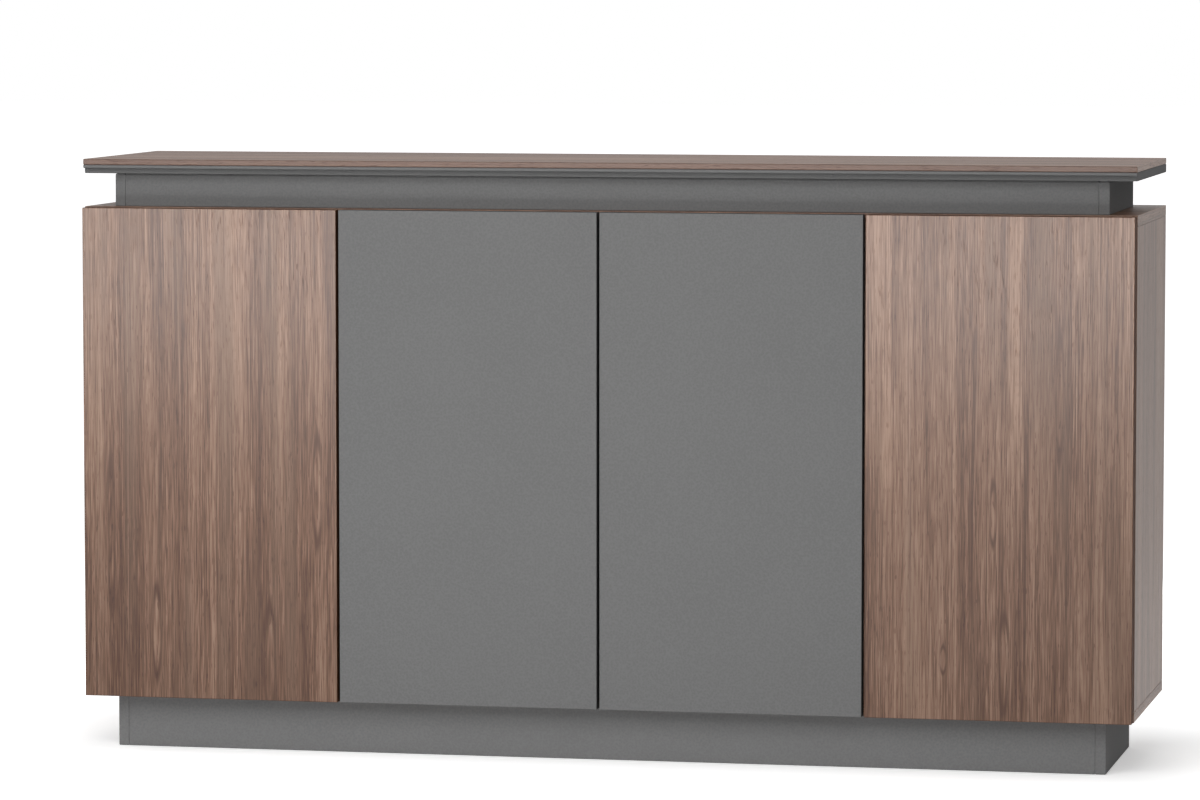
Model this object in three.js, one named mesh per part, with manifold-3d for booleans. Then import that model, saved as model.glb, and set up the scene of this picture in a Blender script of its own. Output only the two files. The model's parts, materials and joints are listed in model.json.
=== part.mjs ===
// Office credenza: a low cabinet with four flush doors and no handles.
// A recessed plinth carries the cabinet, and a recessed riser carries the worktop above it.
// Millimetres, +Z up, doors facing -Y. The origin is on the floor, under the middle of the cabinet.
import * as THREE from 'three';
import { mergeVertices } from 'three/addons/utils/BufferGeometryUtils.js';
import Module from 'manifold-3d';

// Carcass
const CABINET_WIDTH = 1600;
const CARCASS_DEPTH = 380;
const CARCASS_HEIGHT = 745;
const CARCASS_BOARD = 16;

// Back panel, held in a groove along all four edges
const BACK_PANEL_BOARD = 8;
const BACK_PANEL_INSET = 12;
const BACK_GROOVE_DEPTH = 6;
const GROOVE_CLEARANCE = 0.3;

// Plinth and riser, two frames with the same plan
const PLINTH_HEIGHT = 80;
const RISER_HEIGHT = 50;
const FRAME_BOARD = 16;
const FRAME_SIDE_INSET = 43;
const FRAME_FRONT_INSET = 17;
const FRAME_BACK_INSET = 63;

// Worktop: a thin walnut board on a grey underboard with a rebated front edge
const WORKTOP_BOARD = 9;
const WORKTOP_FRONT_OVERHANG = 9;
const UNDERBOARD = 13;
const UNDERBOARD_REBATE_HEIGHT = 8;
const UNDERBOARD_REBATE_DEPTH = 8;

// Doors
const DOOR_BOARD = 18;
const DOOR_SIDE_INSET = 1.5;
const DOOR_TOP_INSET = 1.5;
const DOOR_GAP = 4;
const DOOR_BACK_GAP = 2;

// Concealed hinges: the axis is the one line that stands for the linkage in the cup
const HINGE_FROM_DOOR_END = 100;
const AXIS_FROM_DOOR_EDGE = 7;
const AXIS_FROM_DOOR_FRONT = 4;
const CUP_DIAMETER = 35;
const CUP_DEPTH = 11.5;
const CUP_WALL = 0.8;
const CUP_FROM_DOOR_EDGE = 5;
const CUP_CLEARANCE = 0.3;
const FLANGE_LENGTH = 62;
const FLANGE_WIDTH = 22;
const FLANGE_CORNER = 5;
const FLANGE_OFFSET = 5;
const FLANGE_THICKNESS = 1;
const ARM_WIDTH = 14;
const ARM_HEIGHT = 11;
const ARM_BEND_SETBACK = 4;
const ARM_SWING_CLEARANCE = 2.3;
const ARM_SEAT_GAP = 0.3;
const NOSE_CLEARANCE = 5;
const PLATE_FROM_CARCASS_FRONT = 14;
const PLATE_LENGTH = 46;
const PLATE_HEIGHT = 50;
const PLATE_THICKNESS = 3;

// Push latches under the top board
const LATCH_FROM_FREE_EDGE = 45;
const LATCH_FRONT_SETBACK = 2;
const LATCH_WIDTH = 16;
const LATCH_LENGTH = 62;
const LATCH_HEIGHT = 18;
const LATCH_FOOT_WIDTH = 38;
const LATCH_FOOT_LENGTH = 30;
const LATCH_FOOT_THICKNESS = 3;
const PLUNGER_DIAMETER = 9;
const PLUNGER_LENGTH = 40;
const PLUNGER_CHAMFER = 0.8;
const PLUNGER_CLEARANCE = 0.4;
const PLUNGER_TIP_GAP = 0.3;
const PLUNGER_END_GAP = 1;

// Shelves on pins, with a short row of holes above and below each pin
const SHELF_BOARD = 16;
const SHELF_HEIGHT = 348;
const SHELF_FRONT_SETBACK = 20;
const SHELF_BACK_GAP = 2;
const SHELF_CLEARANCE = 0.3;
const PIN_DIAMETER = 5;
const PIN_COLLAR_DIAMETER = 8;
const PIN_COLLAR_THICKNESS = 1.5;
const PIN_REACH = 8;
const PIN_DEPTH = 9;
const PIN_CLEARANCE = 0.3;
const PIN_FROM_SHELF_EDGE = 50;
const PIN_HOLE_PITCH = 32;
const PIN_HOLES_EACH_WAY = 2;

// Sides of the polygons that stand for circles
const CUP_SIDES = 24;
const PIN_SIDES = 10;

// Finishes
const walnut = new THREE.MeshStandardMaterial({ color: '#86705f', roughness: 0.4, metalness: 0 });
const grey = new THREE.MeshStandardMaterial({ color: '#717172', roughness: 0.6, metalness: 0 });
const steel = new THREE.MeshStandardMaterial({ color: '#b4b7ba', roughness: 0.3, metalness: 1 });
const plastic = new THREE.MeshStandardMaterial({ color: '#8d8f91', roughness: 0.5, metalness: 0 });

// Planes across the depth
const outerDepth = CARCASS_DEPTH + DOOR_BACK_GAP + DOOR_BOARD;
const doorFront = -outerDepth / 2;
const doorBack = doorFront + DOOR_BOARD;
const carcassFront = doorBack + DOOR_BACK_GAP;
const carcassBack = carcassFront + CARCASS_DEPTH;
const panelBack = carcassBack - BACK_PANEL_INSET;
const panelFront = panelBack - BACK_PANEL_BOARD;

// Planes across the width
const cabinetRight = CABINET_WIDTH / 2;
const cabinetLeft = -cabinetRight;
const insideRight = cabinetRight - CARCASS_BOARD;
const insideLeft = -insideRight;

// Levels
const carcassBottom = PLINTH_HEIGHT;
const carcassTop = carcassBottom + CARCASS_HEIGHT;
const insideBottom = carcassBottom + CARCASS_BOARD;
const insideTop = carcassTop - CARCASS_BOARD;
const worktopUnderside = carcassTop + RISER_HEIGHT;
const underboardTop = worktopUnderside + UNDERBOARD;
const worktopTop = underboardTop + WORKTOP_BOARD;
const shelfUnderside = insideBottom + SHELF_HEIGHT;

const credenza = new THREE.Group();
const wasm = await Module();
wasm.setup();

// A closed geometry as a solid that can be joined and cut
function solidOf(geometry) {
  const bare = geometry.clone();
  bare.deleteAttribute('normal');
  bare.deleteAttribute('uv');
  const merged = mergeVertices(bare);
  const corners = merged.index.array;
  const triangles = [];
  for (let i = 0; i < corners.length; i += 3) {
    const [a, b, c] = corners.slice(i, i + 3);
    const flat = a === b || b === c || c === a;
    if (!flat) triangles.push(a, b, c);
  }
  return new wasm.Manifold(new wasm.Mesh({
    numProp: 3,
    vertProperties: merged.attributes.position.array,
    triVerts: new Uint32Array(triangles),
  }));
}

function geometryOf(solid) {
  const mesh = solid.getMesh();
  const geometry = new THREE.BufferGeometry();
  geometry.setAttribute('position', new THREE.BufferAttribute(mesh.vertProperties, 3));
  geometry.setIndex(new THREE.BufferAttribute(mesh.triVerts, 1));
  geometry.computeVertexNormals();
  return geometry;
}

function cut(geometry, tools) {
  return geometryOf(tools.reduce((rest, tool) => rest.subtract(solidOf(tool)), solidOf(geometry)));
}

function join(first, second) {
  return geometryOf(solidOf(first).add(solidOf(second)));
}

function addPiece(parent, name, geometry, material, position = [0, 0, 0]) {
  const mesh = new THREE.Mesh(geometry, material.clone());
  mesh.name = name;
  mesh.position.set(...position);
  parent.add(mesh);
}

// The size and the middle of a box between two corners
function extent(low, high) {
  return {
    size: low.map((value, axis) => high[axis] - value),
    middle: low.map((value, axis) => (value + high[axis]) / 2),
  };
}

function block(low, high) {
  const { size, middle } = extent(low, high);
  return new THREE.BoxGeometry(...size).translate(...middle);
}

// A board between two corners, placed by its middle, with the tools' shapes cut out of it
function addBoard(name, material, low, high, tools = []) {
  const { size, middle } = extent(low, high);
  const toLocal = middle.map((value) => -value);
  const board = new THREE.BoxGeometry(...size);
  const localTools = tools.map((tool) => tool.clone().translate(...toLocal));
  const geometry = tools.length ? cut(board, localTools) : board;
  addPiece(credenza, name, geometry, material, middle);
}

// A plan outline pulled up between two levels
function prism(points, bottom, top) {
  const outline = new THREE.Shape(points.map(([x, y]) => new THREE.Vector2(x, y)));
  const options = { depth: top - bottom, bevelEnabled: false };
  return new THREE.ExtrudeGeometry(outline, options).translate(0, 0, bottom);
}

// A shape turned about the Y axis, from a list of radius and place along the axis
function turned(profile, sides) {
  return new THREE.LatheGeometry(profile.map(([radius, y]) => new THREE.Vector2(radius, y)), sides);
}

// Doors from left to right. Each hangs on the board at its outer edge.
const doors = [
  { name: 'left_outer', hingeSide: -1, finish: walnut },
  { name: 'left_inner', hingeSide: -1, finish: grey },
  { name: 'right_inner', hingeSide: 1, finish: grey },
  { name: 'right_outer', hingeSide: 1, finish: walnut },
];
const doorBottom = carcassBottom;
const doorTop = carcassTop - DOOR_TOP_INSET;
const doorHeight = doorTop - doorBottom;
const doorRowWidth = CABINET_WIDTH - 2 * DOOR_SIDE_INSET;
const doorWidth = (doorRowWidth - (doors.length - 1) * DOOR_GAP) / doors.length;
const doorPitch = doorWidth + DOOR_GAP;

// The two partitions stand behind the gaps beside the inner doors
const partitionRight = doorPitch;
const partitionLeft = -partitionRight;
const halfBoard = CARCASS_BOARD / 2;
const partitions = [
  { name: 'left_partition', middle: partitionLeft },
  { name: 'right_partition', middle: partitionRight },
];
const compartments = [
  { name: 'left', low: insideLeft, high: partitionLeft - halfBoard },
  { name: 'centre', low: partitionLeft + halfBoard, high: partitionRight - halfBoard },
  { name: 'right', low: partitionRight + halfBoard, high: insideRight },
];

// Shelf pins: places along the depth, and the holes that they go in
const shelfFront = carcassFront + SHELF_FRONT_SETBACK;
const shelfBack = panelFront - SHELF_BACK_GAP;
const pinRows = [
  { name: 'front', y: shelfFront + PIN_FROM_SHELF_EDGE },
  { name: 'back', y: shelfBack - PIN_FROM_SHELF_EDGE },
];
const pinRadius = PIN_DIAMETER / 2;
const pinLevel = shelfUnderside - PIN_CLEARANCE - pinRadius;

// Rows of holes drilled along X between two planes
function pinHoles(low, high) {
  const holes = [];
  const radius = pinRadius + PIN_CLEARANCE;
  for (const row of pinRows) {
    for (let step = -PIN_HOLES_EACH_WAY; step <= PIN_HOLES_EACH_WAY; step += 1) {
      const hole = new THREE.CylinderGeometry(radius, radius, high - low, PIN_SIDES);
      hole.rotateZ(Math.PI / 2);
      hole.translate((low + high) / 2, row.y, pinLevel + step * PIN_HOLE_PITCH);
      holes.push(hole);
    }
  }
  return holes;
}

// Plinth and riser: end boards seen from the front, rails between them, braces under the partitions
function addFrame(name, bottom, top) {
  const left = cabinetLeft + FRAME_SIDE_INSET;
  const right = -left;
  const front = carcassFront + FRAME_FRONT_INSET;
  const back = carcassBack - FRAME_BACK_INSET;
  const railLeft = left + FRAME_BOARD;
  const railRight = right - FRAME_BOARD;
  const frontRailBack = front + FRAME_BOARD;
  const backRailFront = back - FRAME_BOARD;
  addBoard(`${name}_left_end`, grey, [left, front, bottom], [railLeft, back, top]);
  addBoard(`${name}_right_end`, grey, [railRight, front, bottom], [right, back, top]);
  addBoard(`${name}_front_rail`, grey, [railLeft, front, bottom], [railRight, frontRailBack, top]);
  addBoard(`${name}_back_rail`, grey, [railLeft, backRailFront, bottom], [railRight, back, top]);
  for (const partition of partitions) {
    const brace = `${name}_${partition.name.replace('partition', 'brace')}`;
    const low = [partition.middle - FRAME_BOARD / 2, frontRailBack, bottom];
    const high = [partition.middle + FRAME_BOARD / 2, backRailFront, top];
    addBoard(brace, grey, low, high);
  }
}

// Carcass: top and bottom boards run over the ends of the sides, and the back sits in a groove
function addCarcass() {
  const panelLow = [
    insideLeft - BACK_GROOVE_DEPTH,
    panelFront,
    insideBottom - BACK_GROOVE_DEPTH,
  ];
  const panelHigh = [
    insideRight + BACK_GROOVE_DEPTH,
    panelBack,
    insideTop + BACK_GROOVE_DEPTH,
  ];
  const groove = block(
    panelLow.map((value) => value - GROOVE_CLEARANCE),
    panelHigh.map((value) => value + GROOVE_CLEARANCE),
  );
  const pinHoleDepth = PIN_DEPTH + PIN_CLEARANCE;
  addBoard('carcass_bottom', walnut,
    [cabinetLeft, carcassFront, carcassBottom], [cabinetRight, carcassBack, insideBottom], [groove]);
  addBoard('carcass_top', walnut,
    [cabinetLeft, carcassFront, insideTop], [cabinetRight, carcassBack, carcassTop], [groove]);
  addBoard('left_side', walnut,
    [cabinetLeft, carcassFront, insideBottom], [insideLeft, carcassBack, insideTop],
    [groove, ...pinHoles(insideLeft - pinHoleDepth, insideLeft + pinHoleDepth)]);
  addBoard('right_side', walnut,
    [insideRight, carcassFront, insideBottom], [cabinetRight, carcassBack, insideTop],
    [groove, ...pinHoles(insideRight - pinHoleDepth, insideRight + pinHoleDepth)]);
  for (const { name, middle } of partitions) {
    addBoard(name, walnut,
      [middle - halfBoard, carcassFront, insideBottom], [middle + halfBoard, panelFront, insideTop],
      pinHoles(middle - CARCASS_BOARD, middle + CARCASS_BOARD));
  }
  addBoard('back_panel', grey, panelLow, panelHigh);
}

function addShelves() {
  const sideGap = PIN_CLEARANCE + PIN_COLLAR_THICKNESS + SHELF_CLEARANCE;
  for (const { name, low, high } of compartments) {
    addBoard(`${name}_shelf`, walnut,
      [low + sideGap, shelfFront, shelfUnderside],
      [high - sideGap, shelfBack, shelfUnderside + SHELF_BOARD]);
  }
}

// The half of a pin that stands out of a board, from the board's face to its rounded-off end
function pinHead(face) {
  const collarRadius = PIN_COLLAR_DIAMETER / 2;
  const collarStart = face + PIN_CLEARANCE;
  const collarEnd = collarStart + PIN_COLLAR_THICKNESS;
  const end = collarEnd + PIN_REACH;
  return [
    [pinRadius, collarStart],
    [collarRadius, collarStart],
    [collarRadius, collarEnd],
    [pinRadius, collarEnd],
    [pinRadius, end],
    [0, end],
  ];
}

function addShelfPins() {
  const singleProfile = [[0, -PIN_DEPTH], [pinRadius, -PIN_DEPTH], ...pinHead(0)];
  const rightHead = pinHead(halfBoard);
  const leftHead = rightHead.map(([radius, along]) => [radius, -along]).reverse();
  const places = [
    { name: 'left_side', x: insideLeft, turn: -Math.PI / 2, profile: singleProfile },
    { name: 'left_partition', x: partitionLeft, turn: -Math.PI / 2, profile: [...leftHead, ...rightHead] },
    { name: 'right_partition', x: partitionRight, turn: -Math.PI / 2, profile: [...leftHead, ...rightHead] },
    { name: 'right_side', x: insideRight, turn: Math.PI / 2, profile: singleProfile },
  ];
  for (const { name, x, turn, profile } of places) {
    for (const row of pinRows) {
      const pin = turned(profile, PIN_SIDES).rotateZ(turn);
      addPiece(credenza, `${name}_${row.name}_shelf_pin`, pin, steel, [x, row.y, pinLevel]);
    }
  }
}

// Worktop: the underboard's lower front edge is cut back, which leaves a shadow line
function addWorktop() {
  const front = carcassFront - WORKTOP_FRONT_OVERHANG;
  const rebateBack = front + UNDERBOARD_REBATE_DEPTH;
  const rebateTop = worktopUnderside + UNDERBOARD_REBATE_HEIGHT;
  const past = UNDERBOARD;
  const rebate = block(
    [cabinetLeft - past, front - past, worktopUnderside - past],
    [cabinetRight + past, rebateBack, rebateTop],
  );
  addBoard('worktop_underboard', grey,
    [cabinetLeft, front, worktopUnderside], [cabinetRight, carcassBack, underboardTop], [rebate]);
  addBoard('worktop_board', walnut,
    [cabinetLeft, front, underboardTop], [cabinetRight, carcassBack, worktopTop]);
}

// Hinge sizes, measured from the door's hinge edge and its back face
const cupRadius = CUP_DIAMETER / 2;
const cupInnerRadius = cupRadius - CUP_WALL;
const cupMiddle = CUP_FROM_DOOR_EDGE + cupRadius;
const hingeLevels = [
  { name: 'upper', z: doorTop - HINGE_FROM_DOOR_END },
  { name: 'lower', z: doorBottom + HINGE_FROM_DOOR_END },
];

// Cup with its flange, open at the back of the door. The flange has cut corners and lies on the door.
function hingeCup(inward) {
  const shell = turned([
    [0, -CUP_DEPTH],
    [cupRadius, -CUP_DEPTH],
    [cupRadius, FLANGE_THICKNESS],
    [cupInnerRadius, FLANGE_THICKNESS],
    [cupInnerRadius, CUP_WALL - CUP_DEPTH],
    [0, CUP_WALL - CUP_DEPTH],
  ], CUP_SIDES);
  const low = FLANGE_OFFSET - FLANGE_WIDTH / 2;
  const high = FLANGE_OFFSET + FLANGE_WIDTH / 2;
  const end = FLANGE_LENGTH / 2;
  const outline = [
    [low + FLANGE_CORNER, -end], [high - FLANGE_CORNER, -end],
    [high, FLANGE_CORNER - end], [high, end - FLANGE_CORNER],
    [high - FLANGE_CORNER, end], [low + FLANGE_CORNER, end],
    [low, end - FLANGE_CORNER], [low, FLANGE_CORNER - end],
  ].map(([x, z]) => [x * inward, z]);
  const plate = prism(outline, 0, FLANGE_THICKNESS).rotateX(Math.PI / 2).translate(0, FLANGE_THICKNESS, 0);
  const opening = new THREE.CylinderGeometry(cupInnerRadius, cupInnerRadius, CUP_DEPTH, CUP_SIDES);
  return join(shell, cut(plate, [opening]));
}

// Arm from its plate on the carrying board to a nose in the cup. Every point of the nose keeps
// far enough from the hinge axis for the door to swing past it.
function hingeArm(inward, boardFace) {
  const axisDepth = DOOR_BOARD - AXIS_FROM_DOOR_FRONT;
  const swingRadius = axisDepth + ARM_SWING_CLEARANCE;
  const noseTip = CUP_WALL - CUP_DEPTH + ARM_SEAT_GAP;
  const noseNear = AXIS_FROM_DOOR_EDGE + Math.sqrt(swingRadius ** 2 - (axisDepth + noseTip) ** 2);
  const halfWidth = ARM_WIDTH / 2;
  const noseFar = cupMiddle + Math.sqrt(cupInnerRadius ** 2 - halfWidth ** 2) - NOSE_CLEARANCE;
  const bend = DOOR_BACK_GAP + ARM_BEND_SETBACK;
  const plateFront = DOOR_BACK_GAP + PLATE_FROM_CARCASS_FRONT;
  const plateBack = plateFront + PLATE_LENGTH;
  const armTop = boardFace + PLATE_THICKNESS + ARM_HEIGHT;
  const armOutline = [
    [boardFace, plateBack], [boardFace, plateFront],
    [noseNear, bend], [noseNear, noseTip],
    [noseFar, noseTip], [noseFar, bend],
    [armTop, plateFront], [armTop, plateBack],
  ].map(([x, y]) => [x * inward, y]);
  const plateOutline = [
    [boardFace, plateFront], [boardFace + PLATE_THICKNESS, plateFront],
    [boardFace + PLATE_THICKNESS, plateBack], [boardFace, plateBack],
  ].map(([x, y]) => [x * inward, y]);
  const arm = prism(armOutline, -halfWidth, halfWidth);
  return join(arm, prism(plateOutline, -PLATE_HEIGHT / 2, PLATE_HEIGHT / 2));
}

// Latch housing: a foot under the top board, and a body with a bore open at the front
function latchHousing() {
  const bodyFront = DOOR_BACK_GAP + LATCH_FRONT_SETBACK;
  const bodyBack = bodyFront + LATCH_LENGTH;
  const footFront = bodyFront + (LATCH_LENGTH - LATCH_FOOT_LENGTH) / 2;
  const body = block([-LATCH_WIDTH / 2, bodyFront, -LATCH_HEIGHT], [LATCH_WIDTH / 2, bodyBack, 0]);
  const foot = block(
    [-LATCH_FOOT_WIDTH / 2, footFront, -LATCH_FOOT_THICKNESS],
    [LATCH_FOOT_WIDTH / 2, footFront + LATCH_FOOT_LENGTH, 0],
  );
  const boreRadius = PLUNGER_DIAMETER / 2 + PLUNGER_CLEARANCE;
  const boreEnd = PLUNGER_TIP_GAP + PLUNGER_LENGTH + PLUNGER_END_GAP;
  const bore = new THREE.CylinderGeometry(boreRadius, boreRadius, boreEnd, PIN_SIDES);
  bore.translate(0, boreEnd / 2, -LATCH_HEIGHT / 2);
  return cut(join(body, foot), [bore]);
}

function latchPlunger() {
  const radius = PLUNGER_DIAMETER / 2;
  return turned([
    [0, 0],
    [radius - PLUNGER_CHAMFER, 0],
    [radius, PLUNGER_CHAMFER],
    [radius, PLUNGER_LENGTH],
    [0, PLUNGER_LENGTH],
  ], PIN_SIDES);
}

// One door with its hinges and latch. The door's group stands at its hinge edge and back face.
function addDoor({ name, hingeSide, finish }, place) {
  const inward = -hingeSide;
  const doorMiddle = (place - (doors.length - 1) / 2) * doorPitch;
  const hingeEdge = doorMiddle + hingeSide * doorWidth / 2;
  const carryingBoards = [insideLeft, partitionLeft + halfBoard, partitionRight - halfBoard, insideRight];
  const boardFace = (carryingBoards[place] - hingeEdge) * inward;
  const leaf = new THREE.Group();
  leaf.position.set(hingeEdge, doorBack, 0);
  credenza.add(leaf);

  const slabMiddle = [inward * doorWidth / 2, -DOOR_BOARD / 2, (doorTop + doorBottom) / 2];
  const holeRadius = cupRadius + CUP_CLEARANCE;
  const holeDepth = CUP_DEPTH + CUP_CLEARANCE;
  const cupHoles = hingeLevels.map(({ z }) => {
    const hole = new THREE.CylinderGeometry(holeRadius, holeRadius, 2 * holeDepth, CUP_SIDES);
    return hole.translate(inward * cupMiddle - slabMiddle[0], DOOR_BOARD / 2, z - slabMiddle[2]);
  });
  const slab = cut(new THREE.BoxGeometry(doorWidth, DOOR_BOARD, doorHeight), cupHoles);
  addPiece(leaf, `${name}_door`, slab, finish, slabMiddle);

  for (const { name: level, z } of hingeLevels) {
    const hinge = `${name}_${level}_hinge`;
    addPiece(leaf, `${hinge}_cup`, hingeCup(inward), steel, [inward * cupMiddle, 0, z]);
    addPiece(credenza, `${hinge}_arm`, hingeArm(inward, boardFace), steel, [hingeEdge, doorBack, z]);
  }

  const latchX = hingeEdge + inward * (doorWidth - LATCH_FROM_FREE_EDGE);
  const plungerPlace = [latchX, doorBack + PLUNGER_TIP_GAP, insideTop - LATCH_HEIGHT / 2];
  addPiece(credenza, `${name}_latch_housing`, latchHousing(), plastic, [latchX, doorBack, insideTop]);
  addPiece(credenza, `${name}_latch_plunger`, latchPlunger(), plastic, plungerPlace);
}

addFrame('plinth', 0, PLINTH_HEIGHT);
addCarcass();
addShelves();
addShelfPins();
doors.forEach(addDoor);
addFrame('riser', carcassTop, worktopUnderside);
addWorktop();

export default credenza;
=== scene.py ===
import json
import math
import bmesh
import bpy
from mathutils import Matrix, Vector


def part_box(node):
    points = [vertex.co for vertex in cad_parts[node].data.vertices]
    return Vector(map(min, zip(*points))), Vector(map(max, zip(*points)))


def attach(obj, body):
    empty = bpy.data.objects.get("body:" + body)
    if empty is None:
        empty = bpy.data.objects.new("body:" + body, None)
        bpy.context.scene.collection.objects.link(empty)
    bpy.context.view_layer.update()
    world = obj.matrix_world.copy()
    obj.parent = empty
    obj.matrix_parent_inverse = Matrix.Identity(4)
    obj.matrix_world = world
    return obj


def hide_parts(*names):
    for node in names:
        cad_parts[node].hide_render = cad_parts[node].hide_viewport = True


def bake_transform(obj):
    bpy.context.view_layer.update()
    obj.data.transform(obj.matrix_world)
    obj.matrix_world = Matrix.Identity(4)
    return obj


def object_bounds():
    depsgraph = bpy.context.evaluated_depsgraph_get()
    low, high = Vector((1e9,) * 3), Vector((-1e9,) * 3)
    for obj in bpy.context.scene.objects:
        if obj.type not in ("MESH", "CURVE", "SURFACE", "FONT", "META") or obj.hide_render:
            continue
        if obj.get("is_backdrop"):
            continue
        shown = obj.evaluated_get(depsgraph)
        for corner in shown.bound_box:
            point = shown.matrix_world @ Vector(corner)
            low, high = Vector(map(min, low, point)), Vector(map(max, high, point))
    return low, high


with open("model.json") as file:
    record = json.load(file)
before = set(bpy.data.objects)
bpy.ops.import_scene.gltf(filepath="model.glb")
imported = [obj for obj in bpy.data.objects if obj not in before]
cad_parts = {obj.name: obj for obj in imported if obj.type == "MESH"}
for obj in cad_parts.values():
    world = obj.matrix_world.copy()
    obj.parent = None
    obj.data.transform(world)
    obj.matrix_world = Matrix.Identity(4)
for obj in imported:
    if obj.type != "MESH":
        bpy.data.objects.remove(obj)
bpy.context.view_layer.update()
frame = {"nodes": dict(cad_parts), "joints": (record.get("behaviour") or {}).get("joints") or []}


# Plinth: six grey melamine-faced boards standing on edge under the cabinet, dowelled and glued.
# The end boards run through to the front, so each shows as a fine seam beside the front rail.
# Every edge carries a thin plastic band, eased by hand so that it doesn't cut.
FRAME_BOARDS = ("left_end", "right_end", "front_rail", "back_rail", "left_brace", "right_brace")
BOARD_EASE = 0.0012
FRAME_EASE = 0.0010
EASE_SEGMENTS = 2
BAND_THICKNESS = 0.001
WELD = 1e-6
FLAT_TURN = math.radians(0.5)
SHARP_TURN = math.radians(60)
# Shorter sharp edges belong to drilled holes and stay sharp
LEAST_RIM = 0.0048
BROAD_FACING = 0.9
GREY_TONE = (0.153, 0.153, 0.153, 1.0)
GREY_TONE_DEEP = (0.136, 0.136, 0.136, 1.0)
# The plinth's grey is painted lighter than the other grey boards: painted light against the shade under the
# doors.
PLINTH_LIT_TONE = (0.172, 0.172, 0.172, 1.0)
PLINTH_LIT_TONE_DEEP = (0.153, 0.153, 0.153, 1.0)
GREY_GLOSS = 0.70
GREY_SPECULAR = 0.04
GREY_PRESS_DEPTH = 0.00045
PRESS_STRENGTH = 0.6
PRESS_DULLING = 0.10
PEARL_SIZE = 0.0030
PEBBLE_PIT, PEBBLE_TOP = 0.1, 0.7
CLOUD_SIZE = 0.16
CLOUD_SHARE = 0.08


def feed(tree, socket, value):
    if isinstance(value, bpy.types.NodeSocket):
        tree.links.new(value, socket)
    else:
        socket.default_value = value


def calculate(tree, operation, *values):
    node = tree.nodes.new("ShaderNodeMath")
    node.operation = operation
    for socket, value in zip(node.inputs, values):
        feed(tree, socket, value)
    return node.outputs[0]


def combine_vectors(tree, operation, *values):
    node = tree.nodes.new("ShaderNodeVectorMath")
    node.operation = operation
    for socket, value in zip(node.inputs, values):
        feed(tree, socket, value)
    return node.outputs[0]


def ease_between(tree, value, low, high, start=0.0, end=1.0):
    node = tree.nodes.new("ShaderNodeMapRange")
    node.interpolation_type = "SMOOTHSTEP"
    settings = {"Value": value, "From Min": low, "From Max": high, "To Min": start, "To Max": end}
    for name, setting in settings.items():
        feed(tree, node.inputs[name], setting)
    return node.outputs["Result"]


def mix_colours(tree, factor, first, second, blend="MIX"):
    node = tree.nodes.new("ShaderNodeMix")
    node.data_type = "RGBA"
    node.blend_type = blend
    feed(tree, node.inputs[0], factor)
    feed(tree, node.inputs[6], first)
    feed(tree, node.inputs[7], second)
    return node.outputs[2]


def grain_noise(tree, vector, width, length, detail=0.0):
    """Noise whose patches are width metres across X and Y, and length metres along Z."""
    shrunk = combine_vectors(tree, "MULTIPLY", vector, (1 / width, 1 / width, 1 / length))
    node = tree.nodes.new("ShaderNodeTexNoise")
    feed(tree, node.inputs["Vector"], shrunk)
    node.inputs["Scale"].default_value = 1.0
    node.inputs["Detail"].default_value = detail
    return node.outputs["Fac"]


def new_group(name, inputs, outputs):
    group = bpy.data.node_groups.new(name, "ShaderNodeTree")
    for socket_name, kind in inputs:
        group.interface.new_socket(socket_name, in_out="INPUT", socket_type=kind)
    for socket_name, kind in outputs:
        group.interface.new_socket(socket_name, in_out="OUTPUT", socket_type=kind)
    entry = group.nodes.new("NodeGroupInput")
    leave = group.nodes.new("NodeGroupOutput")
    return group, entry.outputs, leave.inputs


def place_group(tree, group, **values):
    node = tree.nodes.new("ShaderNodeGroup")
    node.node_tree = group
    for name, value in values.items():
        feed(tree, node.inputs[name], value)
    return node.outputs


def new_material(name, roughness, metallic=0.0, specular=0.5):
    material = bpy.data.materials.new(name)
    material.use_nodes = True
    shader = material.node_tree.nodes["Principled BSDF"]
    shader.inputs["Roughness"].default_value = roughness
    shader.inputs["Metallic"].default_value = metallic
    shader.inputs["Specular IOR Level"].default_value = specular
    return material, material.node_tree, shader.inputs


def object_place(tree):
    return tree.nodes.new("ShaderNodeTexCoord").outputs["Object"]


def bump(tree, height, distance, strength):
    node = tree.nodes.new("ShaderNodeBump")
    feed(tree, node.inputs["Height"], height)
    node.inputs["Distance"].default_value = distance
    node.inputs["Strength"].default_value = strength
    return node.outputs["Normal"]


def make_pearl():
    """The fine pebbled press of a melamine face or a moulding, over a very faint cloud."""
    inputs = [("Place", "NodeSocketVector"), ("Size", "NodeSocketFloat")]
    outputs = [("Cloud", "NodeSocketFloat"), ("Pebble", "NodeSocketFloat")]
    group, given, result = new_group("pearl", inputs, outputs)
    cloud = grain_noise(group, given["Place"], CLOUD_SIZE, CLOUD_SIZE, 2.0)
    feed(group, result["Cloud"], ease_between(group, cloud, 0.3, 0.7))
    pebble = group.nodes.new("ShaderNodeTexVoronoi")
    pebble.feature = "SMOOTH_F1"
    shrunk = combine_vectors(group, "SCALE", given["Place"])
    scale = calculate(group, "DIVIDE", 1.0, given["Size"])
    feed(group, shrunk.node.inputs["Scale"], scale)
    feed(group, pebble.inputs["Vector"], shrunk)
    pebble.inputs["Scale"].default_value = 1.0
    feed(group, result["Pebble"], pebble.outputs["Distance"])
    return group


pearl = make_pearl()


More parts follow.
